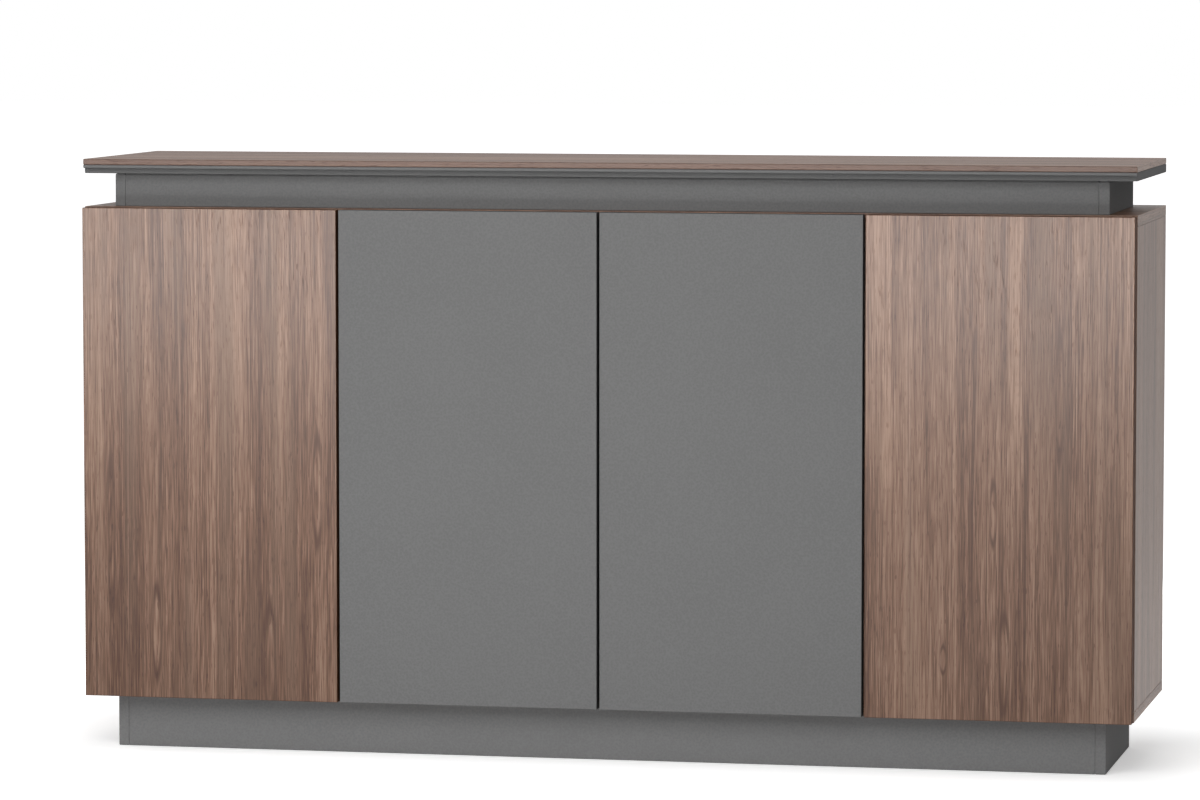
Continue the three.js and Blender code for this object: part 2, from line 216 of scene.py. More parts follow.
def make_grey(name, tone, pit_shade_tone, gloss, specular, press_depth):
    """Grey melamine. Gloss is the roughness at the bottom of the press, and the tops are duller.
    The deep tone is painted shade in the pits of the press, which get a little less light."""
    material, tree, shader = new_material(name, roughness=gloss, specular=specular)
    press = place_group(tree, pearl, Place=object_place(tree), Size=PEARL_SIZE)
    cloud = calculate(tree, "MULTIPLY_ADD", press["Cloud"], CLOUD_SHARE, -CLOUD_SHARE / 2)
    height = calculate(tree, "ADD", press["Pebble"], cloud)
    raised = ease_between(tree, height, PEBBLE_PIT, PEBBLE_TOP)
    feed(tree, shader["Base Color"], mix_colours(tree, raised, pit_shade_tone, tone))
    dull = ease_between(tree, press["Pebble"], PEBBLE_PIT, PEBBLE_TOP, gloss, gloss + PRESS_DULLING)
    feed(tree, shader["Roughness"], dull)
    feed(tree, shader["Normal"], bump(tree, press["Pebble"], press_depth, PRESS_STRENGTH))
    return material


pressed_grey = {"gloss": GREY_GLOSS, "specular": GREY_SPECULAR, "press_depth": GREY_PRESS_DEPTH}
grey_decor = make_grey("grey_decor", GREY_TONE, GREY_TONE_DEEP, **pressed_grey)
# A lighter copy of the grey decor for the plinth, as painted light against the shade under the doors.
plinth_decor_lit = make_grey("plinth_decor_lit", PLINTH_LIT_TONE, PLINTH_LIT_TONE_DEEP, **pressed_grey)


def open_copy(node):
    """The node's solid as welded flat faces, ready to be worked on."""
    bm = bmesh.new()
    bm.from_mesh(frame["nodes"][node].data)
    bmesh.ops.remove_doubles(bm, verts=bm.verts, dist=WELD)
    bmesh.ops.dissolve_limit(bm, angle_limit=FLAT_TURN, verts=bm.verts, edges=bm.edges)
    return bm


def ease_edges(bm, edges, width, segments=EASE_SEGMENTS):
    bmesh.ops.bevel(
        bm, geom=edges, offset=width, offset_type="OFFSET", segments=segments,
        profile=0.5, affect="EDGES", material=-1, clamp_overlap=True,
    )


def make_object(name, bm, materials, smooth_turn=None):
    """A new object from a finished shape. Turns gentler than smooth_turn are shaded as round."""
    mesh = bpy.data.meshes.new(name)
    bm.to_mesh(mesh)
    bm.free()
    for material in materials:
        mesh.materials.append(material)
    if smooth_turn is not None:
        mesh.shade_smooth()
        mesh.set_sharp_from_angle(angle=smooth_turn)
    piece = bpy.data.objects.new(name, mesh)
    bpy.context.scene.collection.objects.link(piece)
    return piece


def fit(piece, body, nodes=()):
    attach(piece, body)
    if nodes:
        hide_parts(*nodes)
    return piece


def sharp_rim(bm):
    """The outer edges of a board that aren't eased yet, without those of its holes."""
    return [
        edge for edge in bm.edges
        if edge.calc_face_angle_signed(0) > SHARP_TURN and edge.calc_length() > LEAST_RIM
    ]


def faced_board(
    node, body, face, bands=None, core=None, ease=BOARD_EASE, band=BAND_THICKNESS, top_ease=None,
):
    """A board with eased edges. Bands are the finishes of edge strips that run along X, Y and Z,
    and core is what shows in holes and grooves. With neither, the face finish covers it all.
    A top_ease is a wider ease of the upper edges."""
    low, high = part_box(node)
    bm = open_copy(node)
    if top_ease:
        upper = [edge for edge in sharp_rim(bm) if all(vert.co.z > high.z - WELD for vert in edge.verts)]
        ease_edges(bm, upper, top_ease)
    ease_edges(bm, sharp_rim(bm), ease)
    extent = high - low
    thin = min(range(3), key=lambda axis: extent[axis])
    flat = [axis for axis in range(3) if axis != thin]
    for axis in flat:
        across = Vector([float(axis == other) for other in range(3)])
        for cut in (low[axis] + band, high[axis] - band):
            geom = bm.verts[:] + bm.edges[:] + bm.faces[:]
            bmesh.ops.bisect_plane(bm, geom=geom, dist=WELD, plane_co=across * cut, plane_no=across)
    materials = [face]
    if bands:
        materials = [face, *bands, core]
        for patch in bm.faces:
            patch.material_index = finish_at(patch, low, high, thin, flat, ease, band)
    else:
        for patch in bm.faces:
            patch.material_index = 0
    piece = make_object(f"{node}_faced", bm, materials)
    return fit(piece, body, [node])


def finish_at(patch, low, high, thin, flat, ease, band):
    """0 on the broad faces, 1 to 3 on an edge band that runs along X, Y or Z, 4 inside a cut."""
    middle = patch.calc_center_median()
    for axis, along in (flat, flat[::-1]):
        if min(middle[axis] - low[axis], high[axis] - middle[axis]) < band:
            return 1 + along
    skin = min(middle[thin] - low[thin], high[thin] - middle[thin])
    return 0 if skin < ease and abs(patch.normal[thin]) > BROAD_FACING else 4


for board in FRAME_BOARDS:
    faced_board(f"plinth_{board}", "carcass", plinth_decor_lit, ease=FRAME_EASE)


# Carcass: top and bottom boards over the ends of two sides, and two partitions between them.
# They are chipboard faced with a printed walnut decor, satin to the touch, with fine straight
# grain, and drilled for shelf pins, so that the raw core shows only inside the holes.
WALNUT_DARK = (0.056, 0.020, 0.008, 1.0)
WALNUT_DEEP = (0.098, 0.044, 0.022, 1.0)
WALNUT_MIDDLE = (0.149, 0.076, 0.045, 1.0)
WALNUT_LIGHT = (0.230, 0.137, 0.090, 1.0)
WALNUT_ASH = (0.108, 0.059, 0.035, 1.0)
PORE_TINT = (0.62, 0.52, 0.46, 1.0)
# Where each tone lies between the darkest and the lightest grain
DARK_AT, DEEP_AT, MIDDLE_AT, LIGHT_AT = 0.12, 0.36, 0.56, 0.88
# The slow sway of the grain from straight, and each layer's width and length and its detail
SWAY_SCALE = (5.0, 5.0, 1.7)
SWAY_REACH = (0.007, 0.007, 0.0)
BANDS = (0.045, 1.10, 1.0)
STREAKS = (0.012, 0.80, 1.0)
LINES = (0.0021, 0.22, 1.0)
LINE_PATCHES = (0.030, 0.45, 1.0)
TICKS = (0.0012, 0.040)
FIBRES = (0.0006, 0.06)
ASH = (0.030, 0.80, 1.0)
VEINS = (0.0034, 0.60, 1.0)
PORES = (0.0011, 0.016)
BAND_WEIGHT, STREAK_WEIGHT, LINE_WEIGHT, TICK_WEIGHT, FIBRE_WEIGHT = 1.25, 0.78, 0.95, 0.75, 0.5
ASH_MOST, PALE_MOST, VEIN_MOST = 0.5, 0.45, 0.6
WALNUT_GLOSS = 0.36
LINE_SHINE = 0.08
PORE_DULLING = 0.12
FIBRE_RELIEF = 0.3
WALNUT_RELIEF = 0.00012
WALNUT_RELIEF_STRENGTH = 0.3
RIGHT_ANGLE = math.pi / 2
GRAIN_ALONG_X = (0, -RIGHT_ANGLE, 0)
GRAIN_ALONG_Y = (RIGHT_ANGLE, 0, 0)
GRAIN_ALONG_Z = (0, 0, 0)
CORE_TONE = (0.330, 0.225, 0.130, 1.0)
CORE_TONE_DEEP = (0.190, 0.120, 0.066, 1.0)
CHIP_SIZE = 0.0016
CHIP_DEPTH = 0.0003


def make_walnut_figure():
    """Straight walnut grain along Z: broad bands, streaks, fine lines, veins and short pores."""
    inputs = [("Grain Space", "NodeSocketVector"), ("Eye, Dark Tone and Shade", "NodeSocketFloat")]
    outputs = [
        ("Color", "NodeSocketColor"),
        ("Roughness", "NodeSocketFloat"),
        ("Height", "NodeSocketFloat"),
    ]
    group, given, result = new_group("walnut_figure", inputs, outputs)
    drift = group.nodes.new("ShaderNodeTexNoise")
    drift_place = combine_vectors(group, "MULTIPLY", given["Grain Space"], SWAY_SCALE)
    feed(group, drift.inputs["Vector"], drift_place)
    drift.inputs["Scale"].default_value = 1.0
    drift.inputs["Detail"].default_value = 1.0
    centred = combine_vectors(group, "SUBTRACT", drift.outputs["Color"], (0.5, 0.5, 0.5))
    sway = combine_vectors(group, "MULTIPLY", centred, SWAY_REACH)
    place = combine_vectors(group, "ADD", given["Grain Space"], sway)

    bands = grain_noise(group, place, *BANDS)
    streaks = grain_noise(group, place, *STREAKS)
    lines = grain_noise(group, place, *LINES)
    ticks = grain_noise(group, place, *TICKS)
    fibres = grain_noise(group, place, *FIBRES)
    ash = grain_noise(group, place, *ASH)
    veins = grain_noise(group, place, *VEINS)
    pores = grain_noise(group, place, *PORES)

    patches = grain_noise(group, place, *LINE_PATCHES)
    strength = ease_between(group, patches, 0.32, 0.68, 0.45, 1.5)
    drawn = calculate(group, "MULTIPLY_ADD", lines, LINE_WEIGHT, -0.5 * LINE_WEIGHT)
    tone = calculate(group, "MULTIPLY_ADD", drawn, strength, 0.5)
    layers = ((bands, BAND_WEIGHT), (streaks, STREAK_WEIGHT), (ticks, TICK_WEIGHT), (fibres, FIBRE_WEIGHT))
    for layer, weight in layers:
        swing = calculate(group, "MULTIPLY_ADD", layer, weight, -0.5 * weight)
        tone = calculate(group, "ADD", tone, swing)
    ramp = group.nodes.new("ShaderNodeValToRGB")
    ramp.color_ramp.elements[0].position = DARK_AT
    ramp.color_ramp.elements[0].color = WALNUT_DARK
    ramp.color_ramp.elements[1].position = LIGHT_AT
    ramp.color_ramp.elements[1].color = WALNUT_LIGHT
    for position, colour in ((DEEP_AT, WALNUT_DEEP), (MIDDLE_AT, WALNUT_MIDDLE)):
        ramp.color_ramp.elements.new(position).color = colour
    feed(group, ramp.inputs["Fac"], tone)
    ash_share = ease_between(group, ash, 0.48, 0.72, 0.0, ASH_MOST)
    colour = mix_colours(group, ash_share, ramp.outputs["Color"], WALNUT_ASH)
    pale_share = ease_between(group, veins, 0.34, 0.22, 0.0, PALE_MOST)
    colour = mix_colours(group, pale_share, colour, WALNUT_LIGHT)
    vein_share = ease_between(group, veins, 0.62, 0.76, 0.0, VEIN_MOST)
    # Grain eyes, darker tones and the painted shade of the door edges all darken here.
    shade = calculate(group, "MAXIMUM", vein_share, given["Eye, Dark Tone and Shade"])
    colour = mix_colours(group, shade, colour, WALNUT_DARK)
    pore_share = ease_between(group, pores, 0.66, 0.76)
    colour = mix_colours(group, pore_share, colour, PORE_TINT, "MULTIPLY")
    feed(group, result["Color"], colour)
    matt = calculate(group, "MULTIPLY_ADD", lines, -LINE_SHINE, WALNUT_GLOSS)
    feed(group, result["Roughness"], calculate(group, "MULTIPLY_ADD", pore_share, PORE_DULLING, matt))
    ridges = calculate(group, "MULTIPLY", fibres, FIBRE_RELIEF)
    feed(group, result["Height"], calculate(group, "MULTIPLY_ADD", pore_share, -1.0, ridges))
    return group


walnut_figure = make_walnut_figure()


def make_walnut(name, turn, shift, dulled=0.0, dark_tone_and_shade=0.0, specular=0.5):
    """Turn and shift say how the board is cut from the grain, which runs along Z."""
    material, tree, shader = new_material(name, roughness=WALNUT_GLOSS, specular=specular)
    turned = tree.nodes.new("ShaderNodeMapping")
    feed(tree, turned.inputs["Vector"], object_place(tree))
    turned.inputs["Rotation"].default_value = turn
    turned.inputs["Location"].default_value = shift
    # The darkening given here is a darker tone on some boards and painted shade on the door edges.
    given = {"Grain Space": turned.outputs["Vector"], "Eye, Dark Tone and Shade": dark_tone_and_shade}
    figure = place_group(tree, walnut_figure, **given)
    feed(tree, shader["Base Color"], figure["Color"])
    feed(tree, shader["Roughness"], calculate(tree, "ADD", figure["Roughness"], dulled))
    feed(tree, shader["Normal"], bump(tree, figure["Height"], WALNUT_RELIEF, WALNUT_RELIEF_STRENGTH))
    return material


walnut_along_x = make_walnut("walnut_along_x", GRAIN_ALONG_X, (0.31, 0.17, 2.0), dulled=0.15)
walnut_along_y = make_walnut("walnut_along_y", GRAIN_ALONG_Y, (1.13, 0.41, 5.0), dulled=0.15)
walnut_along_z = make_walnut(
    "walnut_along_z", GRAIN_ALONG_Z, (2.37, 1.29, 9.0), dulled=0.15, dark_tone_and_shade=0.12, specular=0.58,
)
walnut_bands = (walnut_along_x, walnut_along_y, walnut_along_z)


def make_chipboard():
    material, tree, shader = new_material("chipboard_core", roughness=0.85, specular=0.2)
    chips = grain_noise(tree, object_place(tree), CHIP_SIZE, CHIP_SIZE, 2.0)
    tone = mix_colours(tree, ease_between(tree, chips, 0.35, 0.65), CORE_TONE_DEEP, CORE_TONE)
    feed(tree, shader["Base Color"], tone)
    feed(tree, shader["Normal"], bump(tree, chips, CHIP_DEPTH, PRESS_STRENGTH))
    return material


chipboard_core = make_chipboard()

for board in ("carcass_bottom", "carcass_top"):
    faced_board(board, "carcass", walnut_along_x, walnut_bands, chipboard_core)
for board in ("left_side", "right_side", "left_partition", "right_partition"):
    faced_board(board, "carcass", walnut_along_z, walnut_bands, chipboard_core)


# Cam caps: the carcass is drawn together by cam fittings let into the uprights near both ends.
# A thin brown plastic cap is pushed into each, so only a flat disc shows on the inside face.
CAP_RADIUS = 0.0085
CAP_THICKNESS = 0.0007
CAP_EASE = 0.00028
CAP_FROM_BOARD_END = 0.034
CAP_FROM_MIDDLE = 0.105
CAP_TONE = (0.110, 0.060, 0.042, 1.0)
CAP_SIDES = 40
CAP_PRESS_DEPTH = 0.00005
MOULDED_STRENGTH = 0.4
ROUND_TURN = math.radians(35)


def make_cap_plastic():
    material, tree, shader = new_material("cap_plastic", roughness=0.5, specular=0.4)
    press = place_group(tree, pearl, Place=object_place(tree), Size=PEARL_SIZE)
    tone = mix_colours(tree, press["Cloud"], CAP_TONE, WALNUT_DEEP)
    feed(tree, shader["Base Color"], tone)
    feed(tree, shader["Normal"], bump(tree, press["Pebble"], CAP_PRESS_DEPTH, MOULDED_STRENGTH))
    return material


def lie_on(place, outward):
    """A placing that turns a shape's +Z to outward and sets its origin at place."""
    return Matrix.Translation(place) @ Vector(outward).to_track_quat("Z", "Y").to_matrix().to_4x4()


def add_disc(bm, placing, radius, thickness, ease, sides):
    made = bmesh.ops.create_cone(
        bm, cap_ends=True, segments=sides, radius1=radius, radius2=radius, depth=thickness,
    )["verts"]
    bmesh.ops.translate(bm, verts=made, vec=(0, 0, thickness / 2))
    rim = {edge for vert in made for edge in vert.link_edges}
    top = [edge for edge in rim if all(vert.co.z > thickness / 2 for vert in edge.verts)]
    bmesh.ops.transform(bm, matrix=placing, verts=made)
    ease_edges(bm, top, ease)


cap_plastic = make_cap_plastic()
caps = bmesh.new()
for board in ("left_side", "left_partition", "right_partition", "right_side"):
    low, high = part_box(board)
    outward = 1 if board in ("left_side", "right_partition") else -1
    face = high.x if outward > 0 else low.x
    middle = (low.y + high.y) / 2
    for y in (middle - CAP_FROM_MIDDLE, middle + CAP_FROM_MIDDLE):
        for z in (low.z + CAP_FROM_BOARD_END, high.z - CAP_FROM_BOARD_END):
            placing = lie_on((face, y, z), (outward, 0, 0))
            add_disc(caps, placing, CAP_RADIUS, CAP_THICKNESS, CAP_EASE, CAP_SIDES)
fit(make_object("cam_caps", caps, [cap_plastic], ROUND_TURN), "carcass")


# Back panel: a thinner grey melamine-faced board, slid into a groove round the back of the carcass.
# It holds the carcass square, and needs no fastener that shows.
faced_board("back_panel", "carcass", grey_decor)


# Shelf pins: turned steel pins with a collar, pushed into the drilled rows, four to a shelf.
# In a partition one pin runs right through and carries the shelf on both sides.
PIN_RADIUS = 0.0025
PIN_COLLAR_RADIUS = 0.004
PIN_COLLAR_GAP = 0.0003
PIN_COLLAR_THICKNESS = 0.0015
PIN_EASE = 0.0004
PIN_SIDES = 28
STEEL_TONE = (0.56, 0.565, 0.57, 1.0)
STEEL_TONE_DULL = (0.44, 0.445, 0.45, 1.0)
SMEAR_STRETCH = 4
SMEAR_DULLING = 0.12


def make_steel(name, smear, roughness):
    """Plated steel with faint upright wipe marks, smear metres wide."""
    material, tree, shader = new_material(name, roughness=roughness, metallic=1.0)
    place = object_place(tree)
    wipe = grain_noise(tree, place, smear, smear * SMEAR_STRETCH, 3.0)
    clean = ease_between(tree, wipe, 0.35, 0.65)
    feed(tree, shader["Base Color"], mix_colours(tree, clean, STEEL_TONE_DULL, STEEL_TONE))
    dull = ease_between(tree, wipe, 0.3, 0.7, roughness + SMEAR_DULLING, roughness)
    feed(tree, shader["Roughness"], dull)
    return material


def spin_profile(bm, points, start, along):
    """A turned shape. Each point is a radius and a distance along the axis from start."""
    along = Vector(along)
    aside = along.orthogonal().normalized()
    verts = [bm.verts.new(Vector(start) + along * far + aside * radius) for radius, far in points]
    edges = [bm.edges.new(pair) for pair in zip(verts, verts[1:])]
    bmesh.ops.spin(
        bm, geom=verts + edges, cent=start, axis=along, dvec=(0, 0, 0),
        angle=2 * math.pi, steps=PIN_SIDES, use_merge=True, use_duplicate=False,
    )
    bmesh.ops.remove_doubles(bm, verts=bm.verts, dist=WELD)
    bmesh.ops.recalc_face_normals(bm, faces=bm.faces)


def pin_head(face, end):
    """Half a pin's profile, from its collar on the board to its rounded end."""
    collar = face + PIN_COLLAR_GAP
    shoulder = collar + PIN_COLLAR_THICKNESS
    return [
        (PIN_RADIUS, collar),
        (PIN_COLLAR_RADIUS - PIN_EASE, collar),
        (PIN_COLLAR_RADIUS, collar + PIN_EASE),
        (PIN_COLLAR_RADIUS, shoulder - PIN_EASE),
        (PIN_COLLAR_RADIUS - PIN_EASE, shoulder),
        (PIN_RADIUS, shoulder),
        (PIN_RADIUS, end - 2 * PIN_EASE),
        (PIN_RADIUS - PIN_EASE, end - PIN_EASE / 2),
        (PIN_RADIUS - 2 * PIN_EASE, end),
        (0, end),
    ]


pin_steel = make_steel("pin_steel", smear=0.004, roughness=0.26)
for board in ("left_side", "left_partition", "right_partition", "right_side"):
    board_low, board_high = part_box(board)
    for row in ("front", "back"):
        node = f"{board}_{row}_shelf_pin"
        low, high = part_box(node)
        centre = (low + high) / 2
        if board.endswith("partition"):
            start = Vector(((board_low.x + board_high.x) / 2, centre.y, centre.z))
            half = pin_head((board_high.x - board_low.x) / 2, high.x - start.x)
            profile = [(radius, -far) for radius, far in half[::-1]] + half
            along = (1, 0, 0)
        else:
            inward = 1 if board == "left_side" else -1
            face = board_high.x if inward > 0 else board_low.x
            start = Vector((face, centre.y, centre.z))
            reach = (high.x - face) if inward > 0 else (face - low.x)
            depth = (high.x - low.x) - reach
            profile = [(0, -depth), (PIN_RADIUS - PIN_EASE, -depth), (PIN_RADIUS, PIN_EASE - depth)]
            profile += pin_head(0, reach)
            along = (inward, 0, 0)
        pin = bmesh.new()
        spin_profile(pin, profile, start, along)
        piece = make_object(f"{node}_turned", pin, [pin_steel], ROUND_TURN)
        fit(piece, "carcass", [node])


# Shelves: one walnut-faced chipboard in each compartment, banded on all four edges.
# It lies loose on its four pins, and can be set higher or lower in the rows of holes.
for board in ("left_shelf", "centre_shelf", "right_shelf"):
    faced_board(board, "carcass", walnut_along_x, walnut_bands, chipboard_core)


# Riser: a second grey frame like the plinth, standing on the carcass and carrying the worktop.
# It is set back all round, so the worktop seems to float above a shadow. Its upper edges are
# eased more than the others, which leaves a dark line under the worktop.
RISER_TOP_EASE = 0.0036

for board in FRAME_BOARDS:
    faced_board(
        f"riser_{board}", "carcass", grey_decor, ease=FRAME_EASE, top_ease=RISER_TOP_EASE,
    )


# Worktop: a thin walnut-faced board glued on a grey underboard. The underboard's front edge has a
# rebate below, which leaves a grey strip flush with the walnut and a shadow line under it.
# That strip is a smooth, glossier plastic band, and the rebate is pressed grey painted a deeper tone, as
# painted shade under the strip.
WORKTOP_EASE = 0.0012
GREY_EDGE_TONE = (0.118, 0.118, 0.118, 1.0)
GREY_EDGE_TONE_DEEP = (0.113, 0.113, 0.113, 1.0)
GREY_EDGE_GLOSS = 0.42
BAND_SPECULAR = 0.1
BAND_PRESS_DEPTH = 0.00005

walnut_worktop = make_walnut(
    "walnut_worktop", GRAIN_ALONG_X, (0.93, 0.64, 3.0), dulled=0.18, specular=0.38,
)
walnut_front_edge = make_walnut(
    "walnut_front_edge", GRAIN_ALONG_X, (0.47, 0.08, 6.0), dulled=0.10, dark_tone_and_shade=0.8, specular=0.48,
)
worktop_bands = (walnut_front_edge, walnut_along_y, walnut_along_z)
grey_edge = make_grey(
    "grey_edge", GREY_EDGE_TONE, GREY_EDGE_TONE_DEEP, GREY_EDGE_GLOSS, BAND_SPECULAR, BAND_PRESS_DEPTH,
)
# The rebate's deeper grey is painted shade under the overhanging strip.
grey_rebate_shaded = make_grey("grey_rebate_shaded", GREY_EDGE_TONE, GREY_EDGE_TONE_DEEP, **pressed_grey)
underboard_bands = (grey_edge, grey_decor, grey_decor)
faced_board(
    "worktop_underboard", "carcass", grey_decor, underboard_bands, grey_rebate_shaded, WORKTOP_EASE,
)
faced_board(
    "worktop_board", "carcass", walnut_worktop, worktop_bands, chipboard_core, WORKTOP_EASE,
)


# Doors: four flush slabs without handles, the outer two walnut and the inner two grey.
# The walnut runs upright on both, with a few long eyes where the grain parts round a knot.
# Their edges have a very thin band painted dark, as painted shade, so the gaps between the doors look dark.
DOOR_EASE = 0.0008
DOOR_BAND_THICKNESS = 0.0004
# The door edge tones are painted shade for the gaps between the doors.
DOOR_EDGE_SHADE = (0.052, 0.052, 0.052, 1.0)
DOOR_EDGE_SHADE_DEEP = (0.047, 0.047, 0.047, 1.0)
DOOR_EDGE_GLOSS = 0.60
DOORS = ("left_outer", "left_inner", "right_inner", "right_outer")
DOOR_GRAIN_SHIFT = (0.0, 10.65, 23.75)
EYE_BEND = 0.86
EYE_DARKNESS = 0.9
WAIST_DARKNESS = 0.35
RIM_STARTS, RIM_FULL, RIM_FADES, RIM_ENDS = 0.62, 0.95, 1.0, 1.35
# Each eye's middle across the front and up it, with its half width and half length
EYES = (
    (-0.6847, 0.1800, 0.0065, 0.068),
    (-0.5072, 0.1400, 0.0080, 0.085),
    (-0.7560, 0.3300, 0.0060, 0.110),
    (-0.4320, 0.4000, 0.0070, 0.080),
    (0.5198, 0.1687, 0.0045, 0.020),
    (0.6100, 0.1650, 0.0075, 0.070),
    (0.5930, 0.3850, 0.0050, 0.045),
    (0.6900, 0.5600, 0.0055, 0.090),
)


def make_grain_eye():
    """Parts the grain round one long eye, and gives the dark of the eye itself."""
    inputs = [
        ("Place", "NodeSocketVector"),
        ("Middle", "NodeSocketVector"),
        ("Half Width", "NodeSocketFloat"),
        ("Half Length", "NodeSocketFloat"),
    ]
    outputs = [("Place", "NodeSocketVector"), ("Dark", "NodeSocketFloat")]
    group, given, result = new_group("grain_eye", inputs, outputs)
    away = combine_vectors(group, "SUBTRACT", given["Place"], given["Middle"])
    parts = group.nodes.new("ShaderNodeSeparateXYZ")
    feed(group, parts.inputs["Vector"], away)
    across = calculate(group, "DIVIDE", parts.outputs["X"], given["Half Width"])
    along = calculate(group, "DIVIDE", parts.outputs["Z"], given["Half Length"])
    along_squared = calculate(group, "MULTIPLY", along, along)
    span = calculate(group, "MULTIPLY_ADD", across, across, along_squared)
    near = calculate(group, "POWER", math.e, calculate(group, "MULTIPLY", span, -1.0))
    pull = calculate(group, "MULTIPLY", near, -EYE_BEND)
    moved = group.nodes.new("ShaderNodeCombineXYZ")
    feed(group, moved.inputs["X"], calculate(group, "MULTIPLY", parts.outputs["X"], pull))
    feed(group, result["Place"], combine_vectors(group, "ADD", given["Place"], moved.outputs["Vector"]))
    reach = calculate(group, "SQRT", span)
    rising = ease_between(group, reach, RIM_STARTS, RIM_FULL)
    falling = ease_between(group, reach, RIM_ENDS, RIM_FADES)
    outline = calculate(group, "MULTIPLY", rising, falling)
    ends = ease_between(group, calculate(group, "ABSOLUTE", along), 0.1, 0.95, WAIST_DARKNESS, 1.0)
    feed(group, result["Dark"], calculate(group, "MULTIPLY", outline, ends))
    return group


grain_eye = make_grain_eye()


def make_walnut_door():
    material, tree, shader = new_material("walnut_door", roughness=WALNUT_GLOSS, specular=0.42)
    place = object_place(tree)
    dark = 0.0
    for across, up, half_width, half_length in EYES:
        given = {"Middle": (across, 0, up), "Half Width": half_width, "Half Length": half_length}
        eye = place_group(tree, grain_eye, Place=place, **given)
        place = eye["Place"]
        dark = calculate(tree, "MAXIMUM", dark, calculate(tree, "MULTIPLY", eye["Dark"], EYE_DARKNESS))
    place = combine_vectors(tree, "ADD", place, DOOR_GRAIN_SHIFT)
    figure = place_group(tree, walnut_figure, **{"Grain Space": place, "Eye, Dark Tone and Shade": dark})
    feed(tree, shader["Base Color"], figure["Color"])
    feed(tree, shader["Roughness"], figure["Roughness"])
    feed(tree, shader["Normal"], bump(tree, figure["Height"], WALNUT_RELIEF, WALNUT_RELIEF_STRENGTH))
    return material


walnut_door = make_walnut_door()
# The walnut door edges are mixed far towards the darkest walnut: painted shade in the gaps.
painted_shade_matt = {"dulled": 0.25, "dark_tone_and_shade": 0.85, "specular": 0.05}
walnut_edge_shaded_along_x = make_walnut("walnut_edge_shaded_along_x", GRAIN_ALONG_X, (0.52, 0.23, 4.0), **painted_shade_matt)
walnut_edge_shaded_along_z = make_walnut("walnut_edge_shaded_along_z", GRAIN_ALONG_Z, (1.61, 0.77, 7.0), **painted_shade_matt)
grey_door_edge_shaded = make_grey(
    "grey_door_edge_shaded", DOOR_EDGE_SHADE, DOOR_EDGE_SHADE_DEEP, DOOR_EDGE_GLOSS, BAND_SPECULAR, BAND_PRESS_DEPTH,
)
walnut_door_bands = (walnut_edge_shaded_along_x, walnut_along_y, walnut_edge_shaded_along_z)
grey_door_bands = (grey_door_edge_shaded, grey_door_edge_shaded, grey_door_edge_shaded)
for door in DOORS:
    outer = door.endswith("outer")
    face = walnut_door if outer else grey_decor
    bands = walnut_door_bands if outer else grey_door_bands
    faced_board(
        f"{door}_door", f"{door}_leaf", face, bands, chipboard_core, DOOR_EASE, DOOR_BAND_THICKNESS,
    )


# Hinges: nickel-plated cup hinges, two to a door. The pressed cup sits in the door's back with two
# screws, the arm on its plate is screwed to the board, and two links join them across the joint.
CUP_FROM_AXIS = 0.0155
FLANGE_FROM_CUP = 0.005
FLANGE_SCREW_REACH = 0.0245
SCREW_RADIUS = 0.0036
SCREW_HEIGHT = 0.0016
SCREW_SIDES = 24
# The rings of a screw head, each as a share of its radius and of its height
SCREW_RINGS = ((1.0, 0.45), (0.93, 0.78), (0.78, 1.0))
CROSS_LENGTH = 0.55
CROSS_WIDTH = 0.14
CROSS_DEPTH = 0.0011
PRESSED_EASE = 0.0002
FOLDED_EASE = 0.0011
FOLDED_SEGMENTS = 3
FOLD_TURN = math.radians(25)
PLATE_LENGTH = 0.046
PLATE_THICKNESS = 0.003
PLATE_SCREW_REACH = 0.016
PLATE_SCREW_RADIUS = 0.0042
ARM_HEIGHT = 0.014
ARM_HALF_WIDTH = 0.007
# The arm's screws lie at these shares of the plate's length, and their heads are lower
ARM_SCREW_SHARES = (0.3, 0.76)
ARM_SCREW_RADIUS = 0.0038
ARM_SCREW_HEIGHT = 0.0009
LINK_GAP = 0.0002
LINK_THICKNESS = 0.0016
LINK_HALF_HEIGHT = 0.0024
LINK_END_ROUNDING = 0.002304
LINK_END_SEGMENTS = 5
LINK_PIN_RADIUS = 0.0013
LINK_PIN_SIDES = 20
NOSE_PIN_FROM_AXIS = 0.0215
CUP_PIN_FROM_AXIS = 0.007
LINK_DEPTH = 0.0066
LINK_STATIONS = 16


